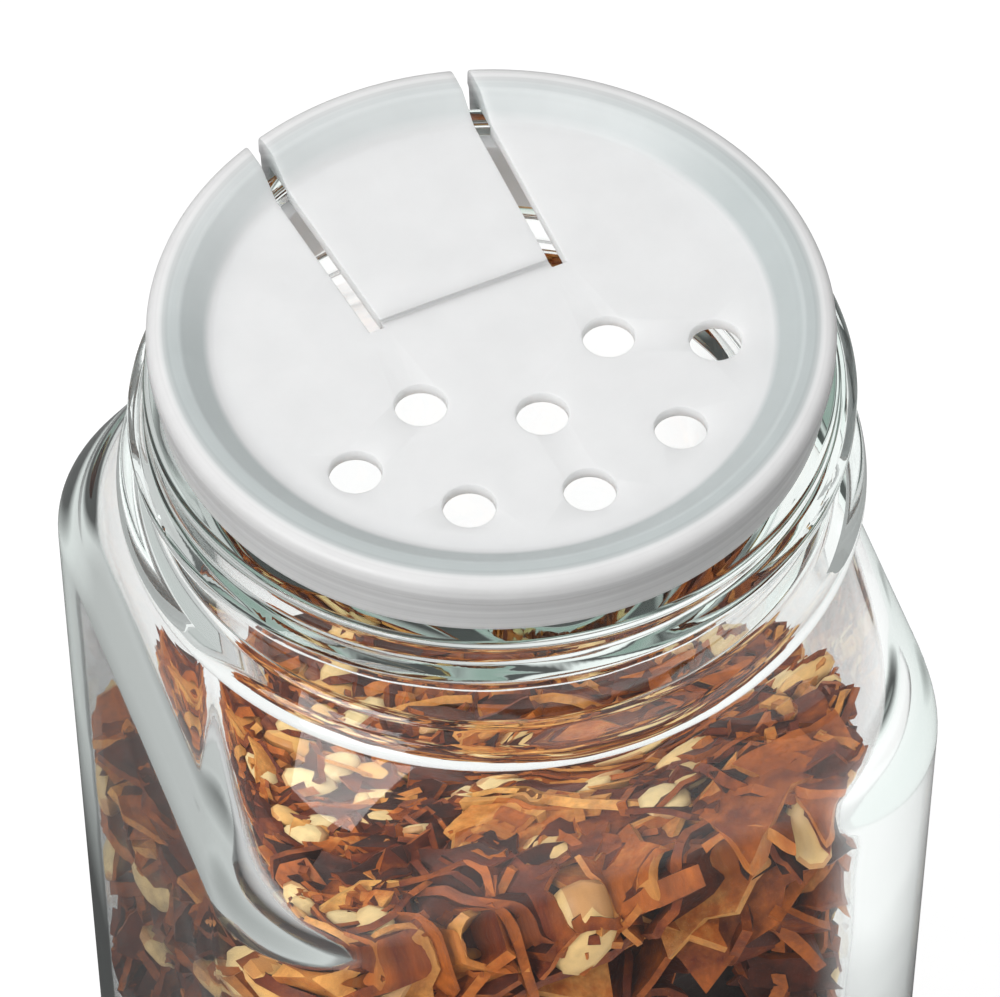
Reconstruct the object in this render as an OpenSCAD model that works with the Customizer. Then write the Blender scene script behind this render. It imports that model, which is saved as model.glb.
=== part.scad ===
// Square clear-glass spice jar with a snap-in shaker insert, filled with chilli flakes.
// Millimetres, +Z up. The origin is the centre of the base and the flat sides face X and Y.
// The insert has sift holes towards the front (-Y) and a hinged pour flap towards the back (+Y).

/* [Glass body] */
// Width across the flat sides
body_w = 45.5; // [42:0.5:54]
// Radius of the upright edges
edge_r = 9.4; // [7:0.1:12]
// Height of the upright sides, up to where they lean in
body_h = 73.5; // [40:0.5:110]
// Height of the shoulder, from the upright sides to the neck bead
shoulder_h = 13.2; // [10:0.1:18]
// Thickness of the sides
wall = 2.5; // [1.8:0.1:3.2]
// Thickness of the base
base_t = 4.6; // [3.2:0.1:8]
// Rounding of the heel around the base
heel_r = 3; // [1.5:0.1:5]
// Rounding of the cavity's floor edge
floor_r = 3.5; // [1.5:0.1:4.5]
// Diameter of the dished underside
dish_d = 32; // [20:0.5:36]
// Depth of the dished underside
dish_t = 1.2; // [0.4:0.1:2]

/* [Glass neck] */
// Height of the neck, from its bead to the top of the lip
neck_h = 11.5; // [9:0.1:16]
// Outer diameter of the neck between bead and lip
neck_d = 40.2; // [38.8:0.1:41]
// Height of the stepped lip that the insert snaps over
lip_h = 2.9; // [2:0.1:4]
// Wall of the lip
lip_t = 1.5; // [1:0.1:2]
// Rounding of the lip's outer edge
lip_round = 0.5; // [0.2:0.1:0.8]
// Outer diameter of the bead at the foot of the neck
bead_d = 44; // [43:0.1:45]
// Height of the bead
bead_t = 2.4; // [2:0.1:3]
// Fillet between the bead and the neck above it
bead_fillet = 0.6; // [0.3:0.1:1]

/* [Shaker insert] */
// Turn of the insert on the neck, in degrees
insert_turn = 4.6; // [-45:0.1:45]
// Height of the rim above the glass lip
rim_h = 1.8; // [1.4:0.1:2.6]
// Outer diameter of the rim
rim_d = 39.4; // [39:0.1:40]
// Rounding of the rim's outer edge
rim_round = 1; // [0.5:0.1:1.2]
// Height of the rim band above the skirt
band_h = 1.5; // [1.3:0.1:1.7]
// Step from the rim band in to the skirt
band_step = 0.2; // [0.1:0.05:0.3]
// Draft of the skirt, from its top in to its lower edge
skirt_draft = 0.2; // [0:0.05:0.3]
// Wall of the skirt at its lower edge
skirt_t = 0.9; // [0.6:0.05:1.2]
// Gap between the skirt and the ledge under the lip
skirt_gap = 0.45; // [0.3:0.05:1]
// Width of the rim's top, from its outer edge in to the slope
crest_w = 1.9; // [1.4:0.1:2.4]
// Width of the slope from the rim's top down to the deck
slope_w = 1.7; // [1:0.1:2.4]
// Depth of the deck below the rim
deck_drop = 1.3; // [0.8:0.1:1.4]
// Thickness of the deck
deck_t = 0.9; // [0.6:0.1:1.2]
// Depth of the plug below the glass lip
plug_h = 5.7; // [4:0.1:8]
// Wall of the plug
plug_t = 1; // [0.7:0.1:1.4]
// Lead-in chamfer at the plug's lower edge
plug_lead = 0.5; // [0.2:0.1:0.6]
// Clearance of the plug and skirt on the glass
snap_gap = 0.3; // [0.15:0.05:0.4]

/* [Sift holes] */
// Diameter of a sift hole
sift_d = 3; // [2:0.1:4]
// Radius of the inner arc of holes
sift_inner_r = 6.7; // [5:0.1:8]
// Distance of the outer arc of holes from the inside of the plug
sift_edge = 2.5; // [2:0.1:4]
// Angle between neighbouring holes on the outer arc
sift_step = 31; // [25:0.5:33]

/* [Pour flap] */
// Distance of the hinge line from the centre
hinge_y = 3.45; // [2:0.05:6]
// Width of the flap at the hinge
flap_w = 10.65; // [8:0.05:12]
// Flare of each side of the flap, in degrees
flap_flare = 3.35; // [0:0.05:5]
// Width of the slots beside the flap
slot_w = 0.95; // [0.6:0.05:1.4]
// Length of each slot past the hinge line
slot_over = 0.45; // [0.2:0.05:0.8]
// Width of the hinge groove
hinge_gap = 0.3; // [0.2:0.05:0.5]
// Thickness of the hinge web
web_t = 0.3; // [0.2:0.05:0.5]
// Gap under the closed flap
flap_gap = 0.2; // [0.1:0.05:0.4]

/* [Chilli flakes] */
// Drop of the heap's middle below the shoulder
fill_drop = 12; // [8:0.5:30]
// Slope of the heap, down towards the back, in degrees
fill_slope = 18; // [0:0.5:22]
// Gap between the flakes and the glass
fill_gap = 0.3; // [0.2:0.05:0.6]
// Spacing of the large flakes that show in the heap
flake_step = 6.6; // [5:0.1:12]
// Width of the gap beside a large flake
flake_w = 4.7; // [3:0.1:6]
// Tilt of the large flakes against the heap's sides and top, in degrees
flake_tilt = 27; // [10:1:40]
// Plain border along the heap's upper and lower edges
flake_edge = 1.2; // [0.5:0.1:4]

/* [Hidden] */
$fn = 128;
over = 1;
foot_ease = 0.05;

// Radii of the insert's rim and skirt
rim_r = rim_d / 2;
crest_r = rim_r - crest_w;
deck_r = crest_r - slope_w;
skirt_top_r = rim_r - band_step;
skirt_low_r = skirt_top_r - skirt_draft;
skirt_in_r = skirt_low_r - skirt_t;

// The lip fits inside the skirt, and the plug fits inside the lip's bore
lip_r = skirt_in_r - snap_gap;
bore_r = lip_r - lip_t;
plug_out_r = bore_r - snap_gap;
plug_in_r = plug_out_r - plug_t;
sift_outer_r = plug_in_r - sift_edge;

// Levels of the glass
bead_z = body_h + shoulder_h;
lip_z = bead_z + neck_h;
ledge_z = lip_z - lip_h;

// The shoulder's taper runs on past the bead, and ends inside the neck's wall
taper_run = 1;
taper_in = 1.2;
taper_z = bead_z + taper_run;
taper_r = neck_d / 2 - taper_in;

// The cavity leans in lower than the outside, and its taper ends at the bead, inside the bore
bend_share = 1 / 3;
cavity_w = body_w - 2 * wall;
cavity_edge_r = edge_r - wall;
cavity_h = body_h - wall * bend_share;
cavity_taper_z = bead_z;
cavity_taper_r = bore_r - over;

// The heap fills the cavity up to its slope, and its flakes turn by the golden angle
heap_w = cavity_w - 2 * fill_gap;
heap_edge_r = cavity_edge_r - fill_gap;
heap_flat = heap_w - 2 * heap_edge_r;
heap_z = body_h - fill_drop;
golden_turn = 137.5;

// Levels of the insert, from the top of the glass lip
deck_z = rim_h - deck_drop;
skirt_z = skirt_gap - lip_h;
plug_rest_z = deck_z - deck_t - flap_gap;

// Half width of the flap at a distance from the centre
function flap_half(y) = flap_w / 2 + (y - hinge_y) * tan(flap_flare);

// Level of the heap's top at a distance from the centre
function heap_top(y) = heap_z - y * tan(fill_slope);

// Square with rounded corners, centred
module rounded_plan(w, r) {
    flat = w - 2 * r;
    square([w, flat], center = true);
    square([flat, w], center = true);
    for (x = [-1, 1], y = [-1, 1])
        translate([x * flat / 2, y * flat / 2])
            circle(r);
}

// Half section of a vessel: a rounded foot, an upright wall and a shoulder that leans in.
// Foot and wall stand out by foot_ease, so that the plan of the vessel trims them.
module vessel_section(half, round_r, foot_z, side_z, top_half, top_z) {
    lean = (half - top_half) / (top_z - side_z);
    out = half + foot_ease;
    low = foot_z - foot_ease;
    polygon([
        [0, low],
        [out - round_r, low],
        [out, low + round_r],
        [out, side_z - foot_ease / lean],
        [top_half - lean * over, top_z + over],
        [0, top_z + over]
    ]);
    translate([out - round_r, low + round_r])
        circle(round_r);
}

// Square vessel with a rounded foot, whose shoulder tapers from square to round
module tapered_vessel(w, r, round_r, foot_z, side_z, top_z, top_r) {
    corner_reach = (w / 2 - r) * sqrt(2) + r;
    intersection() {
        translate([0, 0, foot_z])
            linear_extrude(top_z - foot_z)
                rounded_plan(w, r);
        intersection_for (turn = [0, 90])
            rotate([90, 0, turn])
                linear_extrude(2 * w, center = true) {
                    vessel_section(w / 2, round_r, foot_z, side_z, top_r, top_z);
                    mirror([1, 0])
                        vessel_section(w / 2, round_r, foot_z, side_z, top_r, top_z);
                }
        rotate_extrude()
            vessel_section(corner_reach, round_r, foot_z, side_z, top_r, top_z);
    }
}

// Half section of the neck, with its bead and stepped lip
module neck_section() {
    translate([0, body_h])
        square([neck_d / 2, ledge_z - body_h]);
    translate([0, ledge_z - over])
        square([lip_r, lip_h + over - lip_round]);
    translate([0, ledge_z])
        square([lip_r - lip_round, lip_h]);
    translate([lip_r - lip_round, lip_z - lip_round])
        circle(lip_round);
    translate([0, bead_z - bead_t / 2])
        square([(bead_d - bead_t) / 2, bead_t]);
    translate([(bead_d - bead_t) / 2, bead_z])
        circle(bead_t / 2);
    translate([neck_d / 2, bead_z + bead_t / 2])
        fillet_section(bead_fillet);
}

// Hollow fillet in the corner of a wall at x = 0 and a ledge at y = 0
module fillet_section(r) {
    difference() {
        translate([-over, -over])
            square(r + over);
        translate([r, r])
            circle(r);
    }
}

// Cap of a large sphere that dishes the underside
module underside_dish() {
    sphere_r = (dish_d * dish_d / 4 + dish_t * dish_t) / (2 * dish_t);
    translate([0, 0, dish_t - sphere_r])
        sphere(sphere_r);
}

module glass_jar() {
    color([0.80, 0.88, 0.85, 0.45])
    difference() {
        union() {
            tapered_vessel(body_w, edge_r, heel_r, 0, body_h, taper_z, taper_r);
            rotate_extrude()
                neck_section();
        }
        tapered_vessel(cavity_w, cavity_edge_r, floor_r, base_t, cavity_h,
                       cavity_taper_z, cavity_taper_r);
        translate([0, 0, body_h])
            cylinder(r = bore_r, h = lip_z - body_h + over);
        underside_dish();
    }
}

// Plain heap under its sloping top
module heap_body() {
    intersection() {
        tapered_vessel(heap_w, heap_edge_r, floor_r, base_t,
                       cavity_h, cavity_taper_z, cavity_taper_r - fill_gap);
        rotate([90, 0, 90])
            linear_extrude(2 * body_w, center = true)
                polygon([
                    [-body_w, 0],
                    [body_w, 0],
                    [body_w, heap_top(body_w)],
                    [-body_w, heap_top(-body_w)]
                ]);
    }
}

// Gap that a tilted flake leaves in a surface facing up, turned for flake number k
module flake_gap(k) {
    rotate([0, 0, k * golden_turn])
        translate([-flake_w / 2, 0, 0])
            rotate([0, flake_tilt, 0])
                translate([0, -flake_w / 2, 0])
                    cube(flake_w);
}

// Column of gaps up a side of the heap, at a distance and turn from an edge's centre
module gap_column(x, y, turn, out, side, first) {
    foot = [x + out * sin(turn), y - out * cos(turn)];
    world_y = foot[0] * sin(90 * side) + foot[1] * cos(90 * side);
    low = base_t + flake_edge;
    span = heap_top(world_y) - flake_edge - low;
    rows = floor(span / flake_step);
    for (row = [0 : rows - 1])
        rotate([0, 0, 90 * side])
            translate([foot[0], foot[1], low + (row + 0.5) * span / rows])
                rotate([90, 0, turn])
                    flake_gap(first + row);
}

// Gaps on the four sides and the rounded edges of the heap
module side_gaps() {
    columns = floor(heap_flat / flake_step);
    step = heap_flat / columns;
    for (side = [0 : 3]) {
        for (column = [0 : columns - 1])
            gap_column((column + 0.5) * step - heap_flat / 2, -heap_flat / 2, 0, heap_edge_r,
                       side, 31 * side + 11 * column);
        gap_column(heap_flat / 2, -heap_flat / 2, 45, heap_edge_r, side, 31 * side + 5);
    }
}

// Gaps on the sloping top of the heap
module top_gaps() {
    room = heap_w - heap_edge_r;
    count = floor(room / flake_step);
    step = room / count;
    for (i = [0 : count - 1], j = [0 : count - 1]) {
        y = (j + 0.5) * step - room / 2;
        translate([(i + 0.5) * step - room / 2, y, heap_top(y)])
            rotate([-fill_slope, 0, 0])
                flake_gap(i * count + j);
    }
}

module chilli_flakes() {
    color([0.55, 0.23, 0.09])
    difference() {
        heap_body();
        side_gaps();
        top_gaps();
    }
}

// Places a piece of the insert on the glass lip
module on_lip() {
    translate([0, 0, lip_z])
        rotate([0, 0, insert_turn])
            children();
}

// Half section of the insert's deck, rim and skirt
module lid_section() {
    polygon([
        [0, deck_z - deck_t],
        [plug_out_r, deck_z - deck_t],
        [plug_out_r, 0],
        [skirt_in_r, 0],
        [skirt_in_r, skirt_z],
        [skirt_low_r, skirt_z],
        [skirt_top_r, rim_h - band_h],
        [rim_r, rim_h - band_h],
        [rim_r, rim_h - rim_round],
        [rim_r - rim_round, rim_h],
        [crest_r, rim_h],
        [deck_r, deck_z],
        [0, deck_z]
    ]);
    translate([rim_r - rim_round, rim_h - rim_round])
        circle(rim_round);
}

// Half section of the plug that goes down into the neck
module plug_section() {
    polygon([
        [plug_in_r, deck_z - deck_t],
        [plug_in_r, -plug_h],
        [plug_out_r - plug_lead, -plug_h],
        [plug_out_r, plug_lead - plug_h],
        [plug_out_r, deck_z - deck_t]
    ]);
}

// Pour opening in plan: the flap, its two slots and the hinge groove
module opening_plan() {
    start = hinge_y - hinge_gap / 2;
    slot_end = hinge_y - slot_over;
    polygon([
        [-flap_w / 2, start],
        [flap_w / 2, start],
        [flap_w / 2, slot_end],
        [flap_half(slot_end) + slot_w, slot_end],
        [flap_half(rim_d) + slot_w, rim_d],
        [-flap_half(rim_d) - slot_w, rim_d],
        [-flap_half(slot_end) - slot_w, slot_end],
        [-flap_w / 2, slot_end]
    ]);
}

// Pour flap in plan
module flap_plan() {
    start = hinge_y + hinge_gap / 2;
    polygon([
        [-flap_half(start), start],
        [flap_half(start), start],
        [flap_half(rim_d), rim_d],
        [-flap_half(rim_d), rim_d]
    ]);
}

// Prism through the insert's deck, rim and skirt
module through_lid() {
    translate([0, 0, skirt_z - over])
        linear_extrude(rim_h - skirt_z + 2 * over)
            children();
}

// Sift holes: an inner arc and an outer arc that face the front
module sift_holes() {
    for (i = [-1 : 1])
        sift_hole(sift_inner_r, 2 * i * sift_step);
    for (i = [-2 : 2])
        sift_hole(sift_outer_r, i * sift_step);
}

module sift_hole(r, a) {
    rotate([0, 0, a])
        translate([0, -r, deck_z - deck_t - over])
            cylinder(d = sift_d, h = deck_t + 2 * over);
}

module shaker_insert() {
    color([0.93, 0.94, 0.94])
    on_lip()
    difference() {
        rotate_extrude() {
            lid_section();
            plug_section();
        }
        sift_holes();
        difference() {
            through_lid()
                opening_plan();
            translate([0, 0, -plug_h])
                cylinder(r = plug_out_r + snap_gap / 2, h = plug_h + plug_rest_z);
        }
    }
}

module hinge_web() {
    color([0.90, 0.91, 0.91])
    on_lip()
    translate([-flap_w / 2, hinge_y - hinge_gap / 2, deck_z - web_t])
        cube([flap_w, hinge_gap, web_t]);
}

module pour_flap() {
    color([0.93, 0.94, 0.94])
    on_lip()
    difference() {
        intersection() {
            rotate_extrude()
                lid_section();
            through_lid()
                flap_plan();
        }
        difference() {
            cylinder(r = skirt_in_r, h = flap_gap);
            translate([0, 0, -over])
                cylinder(r = plug_out_r, h = flap_gap + 2 * over);
        }
    }
}

glass_jar();
chilli_flakes();
shaker_insert();
hinge_web();
pour_flap();
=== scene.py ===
# Square glass spice jar with a frosted shaker insert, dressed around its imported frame

import math

import bmesh
import bpy
import numpy as np
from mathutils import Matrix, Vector


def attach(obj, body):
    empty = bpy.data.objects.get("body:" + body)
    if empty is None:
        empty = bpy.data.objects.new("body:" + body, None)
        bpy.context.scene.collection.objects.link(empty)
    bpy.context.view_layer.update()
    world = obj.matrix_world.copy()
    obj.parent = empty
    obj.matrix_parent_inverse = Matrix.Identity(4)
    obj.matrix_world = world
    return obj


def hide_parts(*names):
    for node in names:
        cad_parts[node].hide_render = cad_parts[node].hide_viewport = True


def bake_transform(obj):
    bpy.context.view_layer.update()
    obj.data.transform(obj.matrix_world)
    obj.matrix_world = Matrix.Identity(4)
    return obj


bl_info = {
    "name": "Spice jar",
    "version": (1, 0, 0),
    "blender": (4, 5, 0),
    "location": "3D View > Sidebar > Spice jar",
    "description": "Models the glass jar, the shaker insert with its pour flap, and the chilli flakes",
    "category": "Object",
}

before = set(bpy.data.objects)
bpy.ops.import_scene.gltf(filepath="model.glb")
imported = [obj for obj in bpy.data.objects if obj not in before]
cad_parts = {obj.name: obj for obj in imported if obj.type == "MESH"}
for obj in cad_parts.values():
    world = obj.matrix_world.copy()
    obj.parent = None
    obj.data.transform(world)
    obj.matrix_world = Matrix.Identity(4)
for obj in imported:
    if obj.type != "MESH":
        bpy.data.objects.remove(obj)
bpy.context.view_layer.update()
MM = 0.001

# Points closer than this are one point, and an edge this close to a level lies on it
MERGE = 0.002 * MM
# The deck's rows end this far inside the plug, and the plug's lower edge tapers by this
DECK_MARGIN, PLUG_LEAD = 0.4 * MM, 0.5 * MM
# The neck's shapes start this far below the bead's middle
NECK_START = 6 * MM
# Points of an insert's row across the flap's opening and round the rest, and of a flap's row
OPENING_COLUMNS, REST_COLUMNS, FLAP_COLUMNS = 32, 208, 29


def length(name, text, mm):
    """A length property, given in millimetres."""
    return bpy.props.FloatProperty(
        name=name, description=text, default=mm * MM, precision=5, unit="LENGTH", subtype="DISTANCE"
    )


def angle(name, text, degrees):
    """An angle property, given in degrees."""
    return bpy.props.FloatProperty(
        name=name, description=text, default=math.radians(degrees), unit="ROTATION", subtype="ANGLE"
    )


def share(name, text, value):
    """A property from 0 to 1."""
    return bpy.props.FloatProperty(
        name=name, description=text, default=value, min=0, max=1, subtype="FACTOR"
    )


def colour(name, text, rgb):
    """A colour property, in linear light."""
    return bpy.props.FloatVectorProperty(
        name=name, description=text, default=rgb, size=3, min=0, max=1, subtype="COLOR"
    )


def count(name, text, value):
    """A whole number."""
    return bpy.props.IntProperty(name=name, description=text, default=value, min=1)


class GlassSettings(bpy.types.PropertyGroup):
    """Sizes and colour of the glass jar"""

    body_w: length("Body width", "Width across the flat sides", 45.5)
    edge_r: length("Edge radius", "Radius of the upright edges", 9.4)
    body_h: length("Body height", "Height of the upright sides", 73.5)
    bend: length("Bend", "Half height of the soft bend between side and shoulder", 1.6)
    shoulder_top: length("Shoulder top", "Level where the shoulder would be round", 87.7)
    shoulder_r: length("Shoulder radius", "Radius of the shoulder at that level", 18.88)
    wall: length("Wall", "Thickness of the sides", 2.5)
    inner_edge_r: length("Inner edge radius", "Radius of the cavity's upright edges", 8.0)
    cavity_z: length("Cavity bend", "Level where the cavity starts to lean in", 71.5)
    cavity_top_z: length("Cavity top", "Level where the cavity meets the bore", 84.5)
    cavity_curve: bpy.props.FloatProperty(
        name="Cavity curve", description="How late the cavity leans in", default=2.0, min=1
    )
    base_t: length("Base", "Thickness of the base", 4.6)
    heel_r: length("Heel", "Rounding round the base", 3)
    floor_r: length("Floor", "Rounding of the cavity's floor", 3.5)
    dish_r: length("Dish", "Radius of the dished underside", 16)
    dish_t: length("Dish depth", "Depth of the dished underside", 1.2)
    neck_r: length("Neck", "Radius of the neck", 20.1)
    neck_fillet: length("Neck fillet", "Fillet between shoulder and neck", 0.7)
    bore_r: length("Bore", "Radius of the bore", 16.6)
    bead_r: length("Bead", "Radius of the bead at the neck's foot", 22)
    bead_t: length("Bead height", "Height of that bead", 2.4)
    bead_z: length("Bead level", "Level of the bead's middle", 86.7)
    bead_fillet: length("Bead fillet", "Fillets above and below the bead", 0.6)
    ledge_z: length("Ledge", "Level of the ledge below the lip", 95.3)
    ledge_round: length("Ledge rounding", "Rounding of the ledge's outer edge", 0.45)
    ledge_fillet: length("Ledge fillet", "Fillet between ledge and lip", 0.3)
    lip_r: length("Lip", "Radius of the lip", 18.1)
    lip_z: length("Lip top", "Level of the lip's top", 98.2)
    lip_round: length("Lip rounding", "Rounding of the lip's outer edge", 0.5)
    mouth_round: length("Mouth rounding", "Rounding of the lip's inner edge", 0.4)
    thread_r: length("Thread", "Radius over the screw thread", 21.1)
    thread_w: length("Thread width", "Half width of the thread at its root", 1.0)
    thread_z: length("Thread level", "Level of the thread at the front", 93.2)
    thread_pitch: length("Thread pitch", "Rise of the thread in one turn", 4.2)
    thread_run: angle("Thread run", "Turn from the front to each end of the thread", 235)
    thread_fade: angle("Thread fade", "Turn over which each end runs out", 24)
    columns: count("Columns", "Points round the jar", 288)
    tint: colour("Tint", "Colour that light takes on in thick glass", (0.70, 0.84, 0.78))
    tint_density: bpy.props.FloatProperty(
        name="Tint density", description="Absorption of the glass per metre", default=24.0, min=0
    )
    clear_depth: bpy.props.FloatProperty(
        name="Clear depth", description="Hits after which the glass stops bending a ray", default=3.5
    )


class InsertSettings(bpy.types.PropertyGroup):
    """Sizes and colours of the shaker insert and its flap"""

    turn: angle("Turn", "Turn of the insert on the neck", 4.6)
    lip_z: length("Lip top", "Level of the glass lip that the insert sits on", 98.2)
    rim_z: length("Rim top", "Level of the rim's top", 100)
    rim_r: length("Rim", "Outer radius of the rim", 19.7)
    rim_round: length("Rim rounding", "Rounding of the rim's outer edge", 1)
    band_z: length("Band", "Level of the step below the rim band", 98.5)
    band_round: length("Band rounding", "Roundings of that step", 0.15)
    skirt_top_r: length("Skirt top", "Radius of the skirt under the band", 19.5)
    skirt_low_r: length("Skirt foot", "Radius of the skirt at its lower edge", 19.3)
    skirt_in_r: length("Skirt inside", "Inner radius of the skirt", 18.4)
    skirt_z: length("Skirt level", "Level of the skirt's lower edge", 95.75)
    crest_r: length("Crest", "Radius where the rim's flat top starts", 17.8)
    crest_round: length("Crest rounding", "Rounding where the rim's flat top starts", 0.6)
    deck_r: length("Deck", "Radius of the flat deck", 16.1)
    deck_z: length("Deck level", "Level of the deck's top", 98.7)
    deck_t: length("Deck thickness", "Thickness of the deck", 0.9)
    deck_round: length("Deck rounding", "Rounding where the deck meets the rim", 0.9)
    plug_out_r: length("Plug", "Outer radius of the plug", 16.3)
    plug_in_r: length("Plug inside", "Inner radius of the plug", 15.3)
    plug_z: length("Plug level", "Level of the plug's lower edge", 92.5)
    flap_gap: length("Flap gap", "Gap under the closed flap", 0.2)
    hinge_y: length("Hinge", "Distance of the hinge line from the axis", 3.45)
    hinge_gap: length("Hinge groove", "Width of the hinge groove", 0.3)
    web_t: length("Hinge web", "Thickness of the hinge web", 0.3)
    web_sag: length("Web sag", "Depth of the web's middle below the deck's top", 0.16)
    web_bow: length("Web bow", "How much higher the web's edges are than its middle", 0.08)
    flap_w: length("Flap width", "Width of the flap at the hinge", 10.65)
    flap_flare: angle("Flap flare", "Flare of each side of the flap", 3.35)
    slot_w: length("Slot", "Width of the slots beside the flap", 0.95)
    slot_over: length("Slot end", "Length of the slots past the hinge line", 0.45)
    sift_r: length("Sift hole", "Radius of a sift hole", 1.5)
    sift_inner_r: length("Inner holes", "Radius of the inner arc of holes", 6.7)
    sift_outer_r: length("Outer holes", "Radius of the outer arc of holes", 12.8)
    sift_step: angle("Hole step", "Angle between holes on the outer arc", 31)
    edge: length("Edge", "Rounding of the moulding's cut edges", 0.1)
    pale: colour("Plastic", "Frosted polyethylene", (0.82, 0.828, 0.832))
    # Painted shade: the plastic is greyer where the glass lip shows through it, and has a lighter painted
    # shade near the flap, which sits off the lip
    painted_lip_shade: colour("Over glass", "Thin plastic with the glass lip close behind", (0.56, 0.605, 0.605))
    painted_flap_shade: colour("Flap band", "Thin plastic near the flap, a little off the lip", (0.70, 0.73, 0.73))
    rim: colour("Rim", "Thicker plastic of the rim and skirt", (0.80, 0.80, 0.80))


class HeapSettings(bpy.types.PropertyGroup):
    """Sizes, numbers and colours of the chilli flakes"""

    top_z: length("Heap", "Level of the heap's top on the axis", 61.5)
    slope: angle("Slope", "Slope of the heap, down towards the back", 18)
    gap: length("Gap", "Gap between the flakes and the glass", 0.15)
    core_in: length("Core", "How far the dark core stays inside the flakes", 5.0)
    side_flakes: count("Side flakes", "Flakes against the glass", 1000)
    top_flakes: count("Top flakes", "Flakes on the heap", 420)
    seeds: count("Seeds", "Seeds among the flakes", 110)
    small: length("Small flake", "Length of the smallest flakes", 4.4)
    large: length("Large flake", "Length of the largest flakes", 11.5)
    seed_size: length("Seed", "Length of a seed", 4.6)
    # Painted shade: the flakes' tone darkens with depth below the heap's top
    deep: length("Dark depth", "Depth below the heap's top at which the flakes are darkest", 5)
    depth_shade: share("Deep tone", "How much darker the flakes are at that depth", 0.55)
    dark: colour("Dark skin", "Darkest skin", (0.038, 0.008, 0.004))
    red: colour("Red skin", "Red-brown skin", (0.15, 0.026, 0.008))
    orange: colour("Orange skin", "Orange-brown skin", (0.47, 0.118, 0.017))
    tan: colour("Tan skin", "Palest inner skin", (0.82, 0.42, 0.115))
    seed: colour("Seed colour", "Most seeds", (0.80, 0.54, 0.24))
    pale_seed: colour("Pale seed", "Palest seeds", (0.84, 0.62, 0.31))
    # Painted shade: colours of the dark core that stands for the shaded flakes inside the heap
    core_shade_dark: colour("Gap", "Darkest of the core", (0.010, 0.003, 0.002))
    core_shade_brown: colour("Brown gap", "Paler crumbs of the core", (0.022, 0.006, 0.004))


class StageSettings(bpy.types.PropertyGroup):
    """Camera, floor and light"""

    azimuth: angle("Azimuth", "Turn of the camera round the jar", -20.96)
    elevation: angle("Elevation", "Height of the camera above the horizon", 50.848)
    distance: length("Distance", "From the camera to the point it looks at", 349.07)
    aim: bpy.props.FloatVectorProperty(
        name="Aim", description="Point that the camera looks at", size=3, precision=5,
        default=(0.000463, -0.000177, 0.08366), subtype="TRANSLATION", unit="LENGTH",
    )
    lens: bpy.props.FloatProperty(
        name="Lens", description="Focal length in millimetres", default=212.8, min=1
    )
    floor: colour("Floor", "Colour of the floor", (0.22, 0.22, 0.22))
    glow: share("Glow", "Brightness of the floor in the picture and through the glass", 0.87)
    sheen: share("Sheen", "Share of that brightness that plain surfaces mirror", 0.06)
    room: share("Room", "Brightness of the room's light outside the glass", 0.62)
    left: share("Left side", "Brightness of the room's left side where the glass mirrors it", 0.55)
    # Painted shadow: the floor close to the jar is darkened where the glass mirrors it
    near: share("Near floor", "Brightness of the floor close to the jar where the glass mirrors it", 0.10)
    right: share("Right side", "Brightness of the room's right side where the glass mirrors it", 1.0)


# Working in edit mode

def deselect():
    """Nothing is selected, so that an operator acts on the new piece alone."""
    if bpy.context.object and bpy.context.object.mode != "OBJECT":
        bpy.ops.object.mode_set(mode="OBJECT")
    bpy.ops.object.select_all(action="DESELECT")


def pick(piece, kind, test):
    """Selects the verts, edges or faces of the edited piece that pass the test."""
    bpy.ops.mesh.select_all(action="DESELECT")
    bpy.ops.mesh.select_mode(type={"verts": "VERT", "edges": "EDGE", "faces": "FACE"}[kind])
    mesh = bmesh.from_edit_mesh(piece.data)
    found = [e for e in getattr(mesh, kind) if test(e)]
    for e in found:
        e.select_set(True)
    mesh.select_flush_mode()
    bmesh.update_edit_mesh(piece.data)
    return len(found)


def place_new(piece, points):
    """Puts the ring that was extruded last on these points, column by column."""
    mesh = bmesh.from_edit_mesh(piece.data)
    column = mesh.verts.layers.int["column"]
    mesh.verts.ensure_lookup_table()
    for v in mesh.verts[-len(points):]:
        v.co = points[v[column]]
    bmesh.update_edit_mesh(piece.data)


def loft(name, rings):
    """A circle that is extruded from ring to ring. It stays in edit mode, with the last ring selected."""
    deselect()
    columns = len(rings[0])
    bpy.ops.mesh.primitive_circle_add(vertices=columns, radius=max(MM, abs(rings[0][0][0])))
    piece = bpy.context.object
    piece.name = piece.data.name = name
    marks = piece.data.attributes.new("column", "INT", "POINT")
    marks.data.foreach_set("value", np.arange(columns, dtype=np.int32))
    bpy.ops.object.mode_set(mode="EDIT")
    bpy.ops.mesh.select_mode(type="VERT")
    bpy.ops.mesh.select_all(action="SELECT")
    place_new(piece, rings[0])
    for ring in rings[1:]:
        bpy.ops.mesh.extrude_region()
        place_new(piece, ring)
    return piece


def close_ends(piece, *rings):
    """Draws each of these end rings together to a point."""
    for ring in rings:
        middle = Vector(np.mean(ring, axis=0))
        reach = 1.01 * max((Vector(p) - middle).length for p in ring)
        pick(piece, "verts", lambda v: (v.co - middle).length < reach)
        bpy.ops.mesh.merge(type="CENTER")


def merge_points():
    """Merges the doubled points of the edited piece."""
    bpy.ops.mesh.select_all(action="SELECT")
    bpy.ops.mesh.remove_doubles(threshold=MERGE)


def tidy(piece, degrees=None):
    """Merges doubles, turns the faces outwards and leaves edit mode, with smooth shading."""
    merge_points()
    bpy.ops.mesh.normals_make_consistent(inside=False)
    bpy.ops.object.mode_set(mode="OBJECT")
    if "column" in piece.data.attributes:
        piece.data.attributes.remove(piece.data.attributes["column"])
    if degrees is None:
        bpy.ops.object.shade_smooth()
    else:
        bpy.ops.object.shade_smooth_by_angle(angle=math.radians(degrees))


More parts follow.
